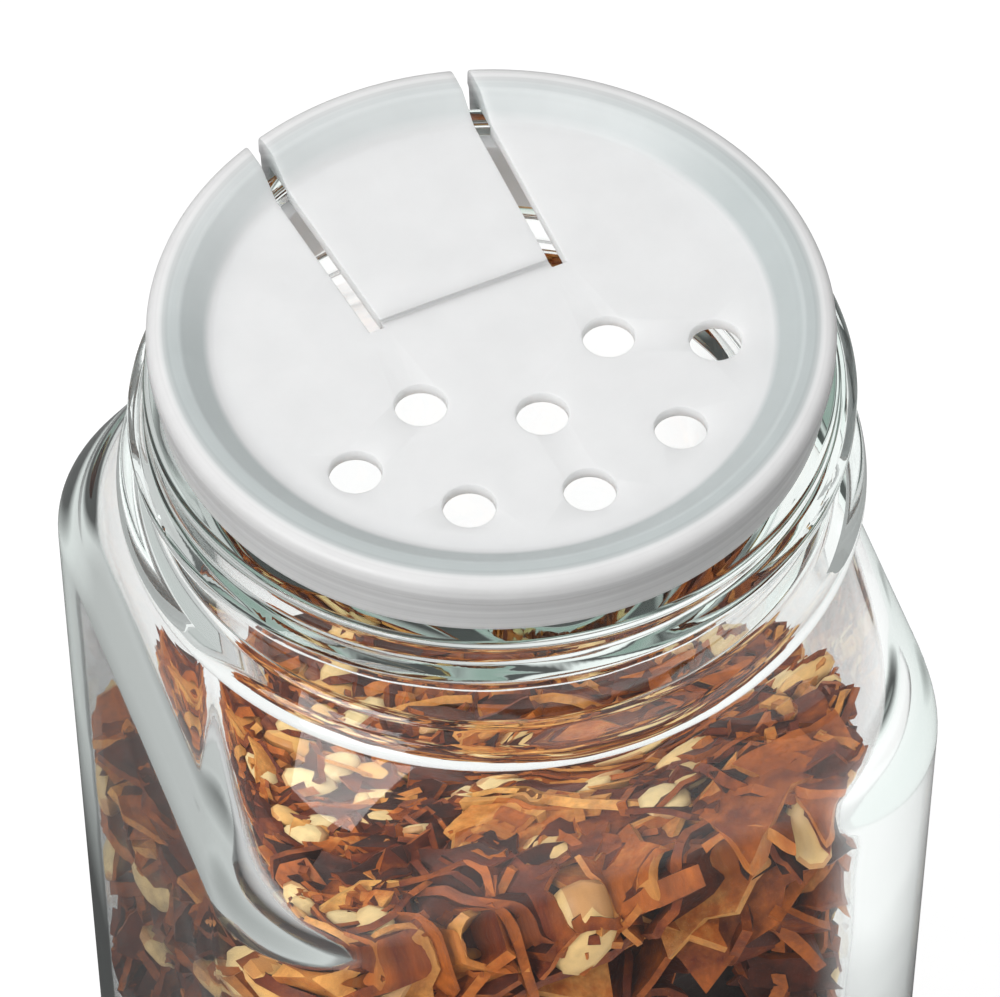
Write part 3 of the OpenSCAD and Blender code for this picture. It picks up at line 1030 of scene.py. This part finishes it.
def flake_pattern(chance, kind):
    """One curled flake of unit length, with a torn outline; returns its points, faces and inner marks."""
    deselect()
    bpy.ops.mesh.primitive_grid_add(x_subdivisions=4, y_subdivisions=3, size=1)
    piece = bpy.context.object
    width = chance.uniform(0.30, 0.50) if kind == "strip" else chance.uniform(0.62, 1.0)
    curl = chance.uniform(0.5, 2.2) * chance.choice((-1, 1))
    twist = chance.uniform(-0.7, 0.7)
    crease = chance.uniform(-0.42, 0.42)
    for v in piece.data.vertices:
        x, y = v.co.x, v.co.y
        torn = 1 + chance.uniform(-0.26, 0.16) if max(abs(x), abs(y)) > 0.49 else 1
        skew = chance.uniform(-0.05, 0.05)
        x, y = x * torn + skew, y * width * torn * (1 - 0.35 * abs(x)) + skew
        bend = curl * y
        z = (1 - math.cos(bend)) / curl + crease * abs(x) + chance.uniform(-0.03, 0.03)
        y = math.sin(bend) / curl
        a = twist * x
        v.co = (x, y * math.cos(a) - z * math.sin(a), y * math.sin(a) + z * math.cos(a))
    top = len(piece.data.polygons)
    apply(piece, "SOLIDIFY", thickness=chance.uniform(0.05, 0.10), offset=0)
    return take_mesh(piece, lambda i: 1.0 if i >= top else 0.0)


def seed_pattern(chance):
    """One flat seed of unit length with a thicker edge; returns its points, faces and edge marks."""
    deselect()
    bpy.ops.mesh.primitive_uv_sphere_add(segments=10, ring_count=6, radius=0.5)
    piece = bpy.context.object
    for v in piece.data.vertices:
        flat = math.hypot(v.co.x, v.co.y) * 2
        lean = 1 + 0.22 * v.co.x
        v.co = (v.co.x, v.co.y * chance.uniform(0.70, 0.76) * lean, v.co.z * (0.36 + 0.06 * flat))
    centres = [p.center.copy() for p in piece.data.polygons]
    return take_mesh(piece, lambda i: 0.55 if math.hypot(centres[i].x, centres[i].y) > 0.40 else 0.0)


def take_mesh(piece, mark):
    """The points, faces and marks of a pattern, which is then removed."""
    mesh = piece.data
    points = np.zeros(len(mesh.vertices) * 3)
    mesh.vertices.foreach_get("co", points)
    faces = [tuple(p.vertices) for p in mesh.polygons]
    marks = np.array([mark(i) for i in range(len(faces))])
    bpy.data.objects.remove(piece)
    return points.reshape(-1, 3), faces, marks


def facing(chance, normals, tilt):
    """Turns that lay a flake on a surface, each tipped a random amount."""
    number = len(normals)
    lean = chance.normal(size=(number, 3)) * tilt
    up = normals + lean
    up /= np.linalg.norm(up, axis=1)[:, None]
    side = np.cross(up, chance.normal(size=(number, 3)))
    side /= np.linalg.norm(side, axis=1)[:, None]
    return np.stack([side, np.cross(up, side), up], axis=2)


class Heap:
    """The space that the flakes fill, and pieces that are scattered in it."""

    # Rise, place and spread of the heap's mound and hollows, in millimetres
    MOUNDS = ((3.2, 15, -13, 12.6), (-3.6, 8, 19, 13), (-3.4, -19, 6, 12))
    # How deep pieces lie at the glass and in the heap's top, how far they tip, and how far they stand up
    FLAKE = {"wall": 6.5 * MM, "top": 2.6 * MM, "wall_tilt": 0.60, "top_tilt": 0.55, "rise": 1.2 * MM}
    SEED = {"wall": 1.2 * MM, "top": 0.8 * MM, "tilt": 0.4, "rise": 1.0 * MM}

    def __init__(self, g, h):
        self.g, self.h = g, h
        self.fall = math.tan(h.slope)

    def top(self, xy):
        """Level of the heap's top, with low bumps."""
        x, y = xy[..., 0] / MM, xy[..., 1] / MM
        bumps = 0.8 * np.sin(0.31 * x + 0.8) * np.cos(0.27 * y) + 0.5 * np.sin(0.63 * y + 0.41 * x)
        for rise, at_x, at_y, spread in self.MOUNDS:
            bumps = bumps + rise * np.exp(-((x - at_x) ** 2 + (y - at_y) ** 2) / spread**2)
        return self.h.top_z - self.fall * xy[..., 1] + bumps * MM

    def limit(self, turn, z):
        """Distance from the axis that the flakes may reach."""
        g = self.g
        deep = np.clip((g.base_t + g.floor_r - z) / g.floor_r, 0, 1)
        shrink = g.floor_r * (1 - np.sqrt(1 - deep * deep))
        return cavity_reach(g, turn, z) - self.h.gap - shrink

    def brightness(self, spots):
        """Painted shade: flakes on the heap keep their tone, and those further down get a darker tone, as if
        in the heap's shade.
        """
        under = np.clip((self.top(spots[:, :2]) - spots[:, 2]) / self.h.deep, 0, 1)
        return 1 - self.h.depth_shade * under

    def settle(self, points, rise):
        """Moves a whole flake inside the glass and under the heap's top, so that it keeps its shape."""
        for _ in range(3):
            z = points[:, 2]
            points[:, 2] += max(0, np.max(self.g.base_t + self.h.gap - z))
            points[:, 2] -= max(0, np.max(z - self.top(points) - rise))
            x, y = points[:, 0], points[:, 1]
            over = np.hypot(x, y) - self.limit(np.arctan2(y, x), points[:, 2])
            far = int(np.argmax(over))
            if over[far] > 0:
                points[:, :2] -= points[far, :2] / math.hypot(*points[far, :2]) * over[far]
        return points

    def keep_in(self, points, rise):
        """Pushes the last points back inside the glass and under the heap's top."""
        x, y, z = points.T
        z = np.maximum(z, self.g.base_t + self.h.gap)
        limit = self.limit(np.arctan2(y, x), z)
        scale = np.minimum(1, limit / np.maximum(np.hypot(x, y), 1e-9))
        x, y = x * scale, y * scale
        z = np.minimum(z, self.top(np.stack([x, y], axis=1)) + rise)
        return np.stack([x, y, z], axis=1)

    def wall_spots(self, chance, number, depth):
        """Places on the inside of the glass below the heap's top, with the way into the heap."""
        g = self.g
        half = g.body_w / 2 - g.wall
        turn = chance.uniform(0, 2 * np.pi, number * 2)
        highest = self.h.top_z + 7 * MM
        z = g.base_t + chance.uniform(0, 1, number * 2) * (highest - g.base_t)
        reach = plan_reach(turn, half, g.inner_edge_r)
        worth = reach**2 / np.max(reach) ** 2
        spots = np.stack([reach * np.cos(turn), reach * np.sin(turn), z], axis=1)
        keep = (chance.uniform(0, 1, number * 2) < worth) & (z < self.top(spots[:, :2]) + 0.5 * MM)
        spots, turn = spots[keep][:number], turn[keep][:number]
        step = 0.01
        ahead, back = turn + step, turn - step
        a = ring_points(ahead, plan_reach(ahead, half, g.inner_edge_r), 0)
        b = ring_points(back, plan_reach(back, half, g.inner_edge_r), 0)
        along = a - b
        normals = np.stack([along[:, 1], -along[:, 0], np.zeros(len(along))], axis=1)
        normals /= np.linalg.norm(normals, axis=1)[:, None]
        return spots - normals * chance.uniform(0.2, 1, len(spots))[:, None] * depth, normals

    def level_spots(self, chance, number, bottom, depth):
        """Places on the heap's top, or on the cavity's floor."""
        g = self.g
        half = g.body_w / 2 - g.wall - 0.8 * MM
        xy = chance.uniform(-half, half, (number * 2, 2))
        turn = np.arctan2(xy[:, 1], xy[:, 0])
        inside = np.hypot(xy[:, 0], xy[:, 1]) < plan_reach(turn, half, g.inner_edge_r)
        xy = xy[inside][:number]
        drop = chance.uniform(0, 1, len(xy)) * depth
        z = g.base_t + drop if bottom else self.top(xy) - drop
        way = (0, 0, -1) if bottom else (0, self.fall, 1)
        return np.column_stack([xy, z]), np.tile(np.array(way, float), (len(xy), 1))

    def scatter(self, name, chance, patterns, spots, turns, sizes, tones, rise, material):
        """Joins copies of the patterns into one piece, each with its own place, turn, size and tone."""
        points, loops, starts, tone, inner = [], [], [], [], []
        base = 0
        which = chance.integers(0, len(patterns), len(spots))
        for spot, turn, size, value, k in zip(spots, turns, sizes, tones, which):
            shape, faces, marks = patterns[k]
            points.append(self.settle(shape @ turn.T * size + spot, rise))
            for face, mark in zip(faces, marks):
                starts.append(len(loops))
                loops.extend(i + base for i in face)
                inner.append(mark)
                tone.append(value)
            base += len(shape)
        points = self.keep_in(np.concatenate(points), rise)
        mesh = bpy.data.meshes.new(name)
        mesh.vertices.add(len(points))
        mesh.vertices.foreach_set("co", points.ravel())
        mesh.loops.add(len(loops))
        mesh.loops.foreach_set("vertex_index", np.array(loops, dtype=np.int32))
        mesh.polygons.add(len(starts))
        mesh.polygons.foreach_set("loop_start", np.array(starts, dtype=np.int32))
        for key, values in (("tone", tone), ("inner", inner)):
            marks = mesh.attributes.new(key, "FLOAT", "FACE")
            marks.data.foreach_set("value", np.array(values, dtype=np.float32))
        mesh.update(calc_edges=True)
        mesh.validate()
        piece = bpy.data.objects.new(name, mesh)
        bpy.context.scene.collection.objects.link(piece)
        deselect()
        piece.select_set(True)
        bpy.context.view_layer.objects.active = piece
        bpy.ops.object.shade_smooth_by_angle(angle=math.radians(55))
        hand_over(piece, material, "jar", "flakes", "chilli_flakes")


class SPICEJAR_OT_heap(bpy.types.Operator):
    """Fills the jar with curled flakes and seeds round a dark core of painted shade"""

    bl_idname = "spicejar.heap"
    bl_label = "Chilli flakes"

    def execute(self, context):
        g, h = context.scene.spice_glass, context.scene.spice_heap
        heap = Heap(g, h)
        flake, seed = heap.FLAKE, heap.SEED
        chance = np.random.default_rng(7)
        self.core(g, h, heap)
        shapes = [flake_pattern(chance, "strip" if i % 6 == 0 else "chip") for i in range(18)]
        skin = chilli_skin(h)
        for name, number, kind in (
            ("flakes_front", h.side_flakes // 2, "wall"),
            ("flakes_back", h.side_flakes // 2, "wall"),
            ("flakes_top", h.top_flakes, "top"),
            ("flakes_floor", h.top_flakes // 3, "floor"),
        ):
            if kind == "wall":
                spots, normals = heap.wall_spots(chance, number, flake["wall"])
                turns = facing(chance, normals, flake["wall_tilt"])
            else:
                spots, normals = heap.level_spots(chance, number, kind == "floor", flake["top"])
                turns = facing(chance, normals, flake["top_tilt"])
            few = len(spots)
            sizes = h.small + (h.large - h.small) * chance.beta(1.3, 1.6, few)
            # Each flake's own tone, darkened by painted shade with its depth in the heap
            tones = chance.beta(0.9, 1.55, few) * heap.brightness(spots)
            heap.scatter(name, chance, shapes, spots, turns, sizes, tones, flake["rise"], skin)
        pips = [seed_pattern(chance) for i in range(3)]
        wall, wall_normals = heap.wall_spots(chance, h.seeds * 2 // 3, seed["wall"])
        top, top_normals = heap.level_spots(chance, h.seeds // 3, False, seed["top"])
        spots, normals = np.concatenate([wall, top]), np.concatenate([wall_normals, top_normals])
        sizes = h.seed_size * chance.uniform(0.75, 1.25, len(spots))
        turns = facing(chance, normals, seed["tilt"])
        tones = chance.uniform(0, 1, len(spots))
        heap.scatter("chilli_seeds", chance, pips, spots, turns, sizes, tones, seed["rise"], chilli_seed(h))
        return {"FINISHED"}

    def core(self, g, h, heap):
        """Dark core of painted shade that fills the heap behind the flakes."""
        turn = np.linspace(0, 2 * np.pi, 96, endpoint=False)
        half = g.body_w / 2 - g.wall - h.core_in
        rings = []
        low = g.base_t + h.core_in
        for k in (0.02, 0.5, 0.9):
            rings.append(ring_points(turn, plan_reach(turn, half, g.inner_edge_r) * k, low))
        edge = ring_points(turn, plan_reach(turn, half, g.inner_edge_r), low)
        for t in np.linspace(0.03, 0.97, 12):
            ring = edge.copy()
            ring[:, 2] = low + t * (heap.top(edge[:, :2]) - h.core_in - low)
            rings.append(ring)
        for k in (0.95, 0.7, 0.4, 0.02):
            ring = edge * [k, k, 1]
            ring[:, 2] = heap.top(ring[:, :2]) - h.core_in
            rings.append(ring)
        piece = loft("chilli_core", rings)
        close_ends(piece, rings[0], rings[-1])
        tidy(piece)
        hand_over(piece, chilli_depth(h), "jar", "flakes", "chilli_flakes")


class SPICEJAR_OT_stage(bpy.types.Operator):
    """Adds the floor, the soft lights, the world and the camera"""

    bl_idname = "spicejar.stage"
    bl_label = "Stage"

    # Name, place, width and power of each soft light
    LAMPS = (
        ("key_softbox", (-0.60, -0.25, 0.66), 0.5, 4.3),
        ("fill_softbox", (0.50, -0.50, 0.50), 0.5, 0.7),
        ("back_softbox", (-0.1, 0.6, 0.8), 0.7, 1.0),
    )

    def execute(self, context):
        stage = context.scene.spice_stage
        deselect()
        bpy.ops.mesh.primitive_plane_add(size=8)
        floor = context.object
        floor.name = "studio_floor"
        floor.data.materials.append(pale_floor(stage))
        for name, spot, size, power in self.LAMPS:
            self.lamp(name, spot, size, power)
        self.world(context, stage)
        self.camera(context, stage)
        context.scene.view_settings.view_transform = "Standard"
        return {"FINISHED"}

    def lamp(self, name, spot, size, power):
        """A square soft light that faces the jar."""
        bpy.ops.object.light_add(type="AREA", location=spot)
        lamp = bpy.context.object
        lamp.name = name
        lamp.data.size = size
        lamp.data.energy = power
        lamp.rotation_euler = (Vector((0, 0, 0.06)) - Vector(spot)).to_track_quat("-Z", "Y").to_euler()

    def world(self, context, stage):
        """White room that is greyer towards the horizon, and plain white to the camera."""
        world = bpy.data.worlds.new("white_room")
        context.scene.world = world
        world.use_nodes = True
        f = Nodes(world.node_tree)
        x, _, z = f.split((f.add("ShaderNodeTexCoord"), "Generated"))
        levels = ((0.0, 0.52), (0.22, 0.60), (0.5, 0.85), (1.0, 1.0))
        grey = f.ramp(z, [(at, (value, value, value)) for at, value in levels])
        path = f.add("ShaderNodeLightPath")
        level = f.range((path, "Transmission Depth"), 0, 1, stage.room, 1.0)
        side = f.range(x, -1, 1, stage.left, stage.right)
        clear = f.range((path, "Glossy Depth"), 0, 1, 1, side)
        back = f.add("ShaderNodeBackground")
        f.feed(grey, back.inputs["Color"])
        f.feed(f.math("MULTIPLY", level, clear), back.inputs["Strength"])
        white = f.add("ShaderNodeBackground", Color=(1, 1, 1, 1))
        view = f.blend((path, "Is Camera Ray"), (back, "Background"), (white, "Background"))
        f.feed(view, f.add("ShaderNodeOutputWorld").inputs["Surface"])

    def camera(self, context, stage):
        """The photograph's camera."""
        a, e = stage.azimuth, stage.elevation
        ahead = Vector((-math.sin(a) * math.cos(e), math.cos(a) * math.cos(e), -math.sin(e)))
        aim = Vector(stage.aim)
        bpy.ops.object.camera_add(location=aim - ahead * stage.distance)
        camera = context.object
        camera.rotation_euler = ahead.to_track_quat("-Z", "Y").to_euler()
        camera.data.lens = stage.lens
        camera.data.sensor_width = 36
        camera.data.clip_start = 0.01
        context.scene.camera = camera


class SPICEJAR_PT_sidebar(bpy.types.Panel):
    """Lists the steps that build the spice jar"""

    bl_idname = "SPICEJAR_PT_sidebar"
    bl_label = "Spice jar"
    bl_space_type = "VIEW_3D"
    bl_region_type = "UI"
    bl_category = "Spice jar"

    def draw(self, context):
        for step in STEPS:
            self.layout.operator(step.bl_idname)


STEPS = (
    SPICEJAR_OT_stage, SPICEJAR_OT_glass, SPICEJAR_OT_insert,
    SPICEJAR_OT_flap, SPICEJAR_OT_hinge, SPICEJAR_OT_heap,
)
SETTINGS = {
    "spice_glass": GlassSettings, "spice_insert": InsertSettings,
    "spice_heap": HeapSettings, "spice_stage": StageSettings,
}


def register():
    for kind in (*SETTINGS.values(), *STEPS, SPICEJAR_PT_sidebar):
        bpy.utils.register_class(kind)
    for name, kind in SETTINGS.items():
        setattr(bpy.types.Scene, name, bpy.props.PointerProperty(type=kind))


def unregister():
    for name in SETTINGS:
        delattr(bpy.types.Scene, name)
    for kind in (SPICEJAR_PT_sidebar, *reversed(STEPS), *reversed(SETTINGS.values())):
        bpy.utils.unregister_class(kind)


def main():
    register()
    bpy.ops.spicejar.stage()
    bpy.ops.spicejar.glass()
    bpy.ops.spicejar.insert()
    bpy.ops.spicejar.flap()
    bpy.ops.spicejar.hinge()
    bpy.ops.spicejar.heap()


if __name__ == "__main__":
    main()
